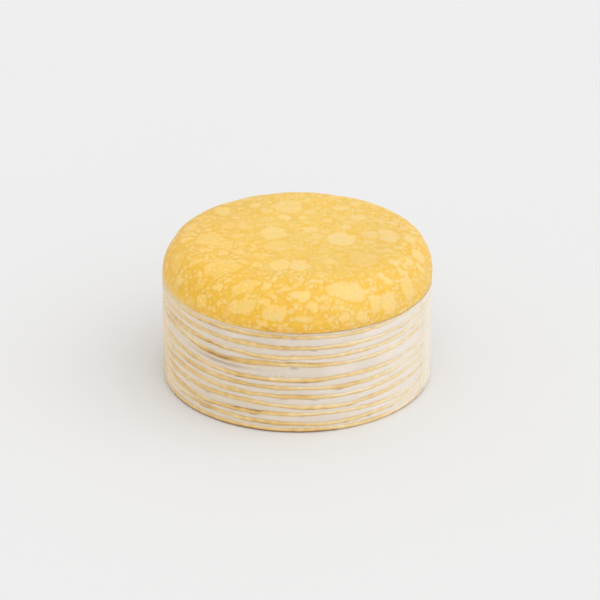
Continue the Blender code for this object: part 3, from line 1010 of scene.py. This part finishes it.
# Film collar
# A strip of clear, slightly hazy food film cut to the height of the side and wrapped once round it,
# its end lapped over its start at the back. It shows by its gloss at the two sides and its edges.
FILM_AROUND = 720
FILM_LAP = 45
FILM_RAMP = 30
FILM_START = np.radians(150.0)
FILM_LAP_LIFT = 0.55 * MM
FILM_EDGE = 0.35 * MM
# Shares of the film's height between its two edge strips.
FILM_SHARES = np.linspace(0, 1, 8)
# How much the film covers what lies behind it, from nearly face on to edge on, and at its cut edges.
FILM_VEIL = (
    (0.10, 0.02), (0.22, 0.04), (0.31, 0.07), (0.42, 0.13), (0.52, 0.19),
    (0.60, 0.215), (0.68, 0.225), (0.80, 0.6), (1.0, 0.9),
)
FILM_EDGE_COVER = 0.6
FILM_COOL = srgb(236, 229, 214)
FILM_WARM = srgb(247, 227, 193)
# Colour of the painted dark reflection along the film's top edge.
FILM_CUT_REFLECTION = srgb(186, 162, 136)


def make_film_paint():
    """Clear film: nearly unseen face on, milky at a glancing angle and along its cut edges. Its
    milkiness is partly real haze and partly painted glare, stronger toward the lit right side. Its
    top cut edge carries a painted dark reflection. It is warmer where the field 'warm' is high."""
    material, shader, node, join = new_paint("clear_film")
    place = node("TexCoord").outputs["Object"]
    cloud = noise(node, place, 70.0, 3.0)
    edge = read_field(node, "edge")
    facing = node("LayerWeight", {"Blend": 0.5}).outputs["Facing"]
    veil = ramped(node, facing, [(glance, (cover, cover, cover, 1.0)) for glance, cover in FILM_VEIL])
    hazed = times(node, veil, read_field(node, "haze_and_glare"))
    seen = times(node, hazed, ranged(node, cloud, 0.3, 0.7, 0.94, 1.06))
    cut = times(node, edge, FILM_EDGE_COVER)
    alpha = node("Math", {0: seen, 1: cut}, operation="ADD", use_clamp=True).outputs[0]
    join(alpha, shader.inputs["Alpha"])
    tint = mixed(node, read_field(node, "warm"), FILM_COOL, FILM_WARM)
    join(mixed(node, edge, tint, FILM_CUT_REFLECTION), shader.inputs["Base Color"])
    join(ranged(node, cloud, 0.3, 0.7, 0.22, 0.30), shader.inputs["Roughness"])
    shader.inputs["IOR"].default_value = 1.46
    shader.inputs["Specular IOR Level"].default_value = 0.25
    return material


def add_film(material):
    """A strip carried round the cake: the radius grows in the last stretch before the lap, so that
    the end lies outside the start. Its two faces and four edges close one thin body."""
    count = FILM_AROUND + FILM_LAP
    step = np.arange(count + 1)
    azimuth = FILM_START + step * 2 * np.pi / FILM_AROUND
    ramp = np.clip((step - FILM_AROUND + FILM_RAMP) / FILM_RAMP, 0, 1)
    lift = FILM_LAP_LIFT * ramp * ramp * (3 - 2 * ramp)
    within = FILM_FOOT + FILM_EDGE + (COLLAR_TOP - FILM_FOOT - 2 * FILM_EDGE) * FILM_SHARES
    levels = np.concatenate([[FILM_FOOT], within, [COLLAR_TOP]])[:, None]
    height = levels + 0 * step
    inner = film_inner_radius(height) + lift
    radius = np.concatenate([inner, inner[::-1] + FILM_THICKNESS])
    height = np.concatenate([height, height[::-1]])
    points = np.stack([radius * np.sin(azimuth), -radius * np.cos(azimuth), height], -1).reshape(-1, 3)
    rows = len(radius)
    index = np.arange(points.shape[0]).reshape(rows, count + 1)
    below = np.roll(index, -1, axis=0)
    quads = np.stack([index[:, :-1], below[:, :-1], below[:, 1:], index[:, 1:]], -1)
    faces = quads.reshape(-1, 4).tolist()
    start = index[:, 0]
    end = index[:, -1]
    for low in range(len(levels) - 1):
        high = rows - 1 - low
        faces.append([int(start[low]), int(start[high]), int(start[high - 1]), int(start[low + 1])])
        faces.append([int(end[low]), int(end[low + 1]), int(end[high - 1]), int(end[high])])
    # Painted dark reflection along the film's top cut edge, faint at the left and full from the front
    # to the right.
    edge = np.zeros((rows, count + 1))
    edge[[0, len(levels) - 1, len(levels), rows - 1]] = 1.0
    edge = edge * (0.15 + 0.85 * np.clip((np.sin(azimuth) + 0.35) / 0.35, 0, 1))
    edge[[0, rows - 1]] = 0.0
    doubled = (step <= FILM_LAP) | (step >= FILM_AROUND)
    # Haze, halved where the film lies doubled at the lap, with painted glare growing toward the lit
    # right.
    haze_and_glare = (0.76 + 0.27 * np.sin(azimuth)) * np.where(doubled, 0.55, 1.0)
    warm = np.clip(0.5 - 0.7 * np.sin(azimuth), 0, 1)
    fields = {
        "edge": edge.ravel(),
        "haze_and_glare": np.broadcast_to(haze_and_glare, (rows, count + 1)).ravel(),
        "warm": np.broadcast_to(warm, (rows, count + 1)).ravel(),
    }
    film = add_mesh("film_collar_fine", points, faces, material, fields)
    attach(film, "root")
    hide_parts("film_collar")


add_film(make_film_paint())

# Floor and light
# A plain pale floor, an even white surround and one broad soft light from the right and above, as in
# a photographer's light tent.
FLOOR_HALF = 6.0
FLOOR_DIM = srgb(226, 226, 226)
FLOOR_LIGHT = srgb(228, 228, 228)
SURROUND_STRENGTH = 0.86
SUN_STRENGTH = 1.12
SUN_SPREAD = np.radians(100.0)
SUN_FROM = Vector((0.507, -0.456, 0.731))


def make_floor():
    """A flat pale sheet, faintly mottled, far wider than the view."""
    corners = np.array([[-1, -1, 0], [1, -1, 0], [1, 1, 0], [-1, 1, 0]]) * FLOOR_HALF
    material, shader, node, join = new_paint("pale_floor")
    place = node("TexCoord").outputs["Object"]
    tone = noise(node, place, 3.0, 2.0)
    join(mixed(node, tone, FLOOR_DIM, FLOOR_LIGHT), shader.inputs["Base Color"])
    shader.inputs["Roughness"].default_value = 0.85
    shader.inputs["Specular IOR Level"].default_value = 0.2
    floor = add_mesh("floor", corners, [(0, 1, 2, 3)], material, {})


def make_light():
    """An even surround and a sun so broad that its shadows have no edge."""
    world = bpy.data.worlds.new("surround")
    world.use_nodes = True
    sky = world.node_tree.nodes["Background"]
    sky.inputs["Color"].default_value = (1.0, 1.0, 1.0, 1.0)
    sky.inputs["Strength"].default_value = SURROUND_STRENGTH
    bpy.context.scene.world = world
    data = bpy.data.lights.new("broad_light", "SUN")
    data.energy = SUN_STRENGTH
    data.angle = SUN_SPREAD
    sun = bpy.data.objects.new("broad_light", data)
    sun.rotation_euler = SUN_FROM.to_track_quat("Z", "Y").to_euler()
    bpy.context.scene.collection.objects.link(sun)
    bpy.context.scene.view_settings.view_transform = "Standard"
    bpy.context.scene.view_settings.look = "None"


make_floor()
make_light()
